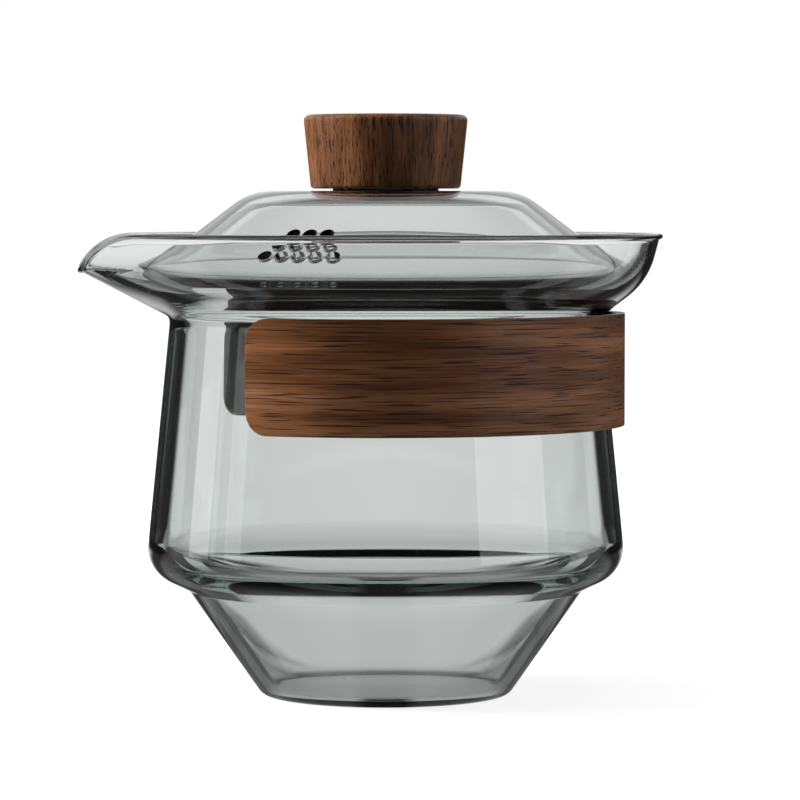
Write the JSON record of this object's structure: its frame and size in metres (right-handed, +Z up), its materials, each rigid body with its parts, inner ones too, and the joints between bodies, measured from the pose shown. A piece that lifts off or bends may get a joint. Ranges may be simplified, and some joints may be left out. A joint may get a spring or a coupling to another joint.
{
  "type": "glass teapot",
  "caption": "Handleless smoked glass teapot with a pouring lip, a domed strainer lid with a wooden knob, and an open bent wood band round the neck to hold it by.",
  "frame": {"origin": "middle of the foot's flat underside, on the pot's axis", "axes": "+Z up along the pot's axis, -X towards the tip of the pouring lip"},
  "size_m": [0.0987, 0.0932, 0.0986],
  "materials": {
    "smoked_glass": "clear smoked grey, fire polished",
    "walnut": "oiled, satin, open pores",
    "lining": "thin black sheet, matt",
    "adhesive": "cured clear adhesive"
  },
  "bodies": {
    "pot": {"glass_pot": "smoked_glass"},
    "band": {"grip_band": "walnut", "band_lining": "lining"},
    "lid_carrier": {"knob_bond": "adhesive"},
    "lid": {"glass_lid": "smoked_glass", "lid_knob": "walnut"}
  },
  "joints": [
    {"name": "band_turn", "type": "hinge", "parent": "pot", "child": "band", "pos_m": [0, 0, 0.0555], "axis": [0, 0, 1], "continuous": true},
    {"name": "lid_lift", "type": "slide", "parent": "pot", "child": "lid_carrier", "axis": [0, 0, 1], "range_m": [0, 0.045]},
    {"name": "lid_turn", "type": "hinge", "parent": "lid_carrier", "child": "lid", "pos_m": [0, 0, 0.088], "axis": [0, 0, 1], "continuous": true}
  ]
}
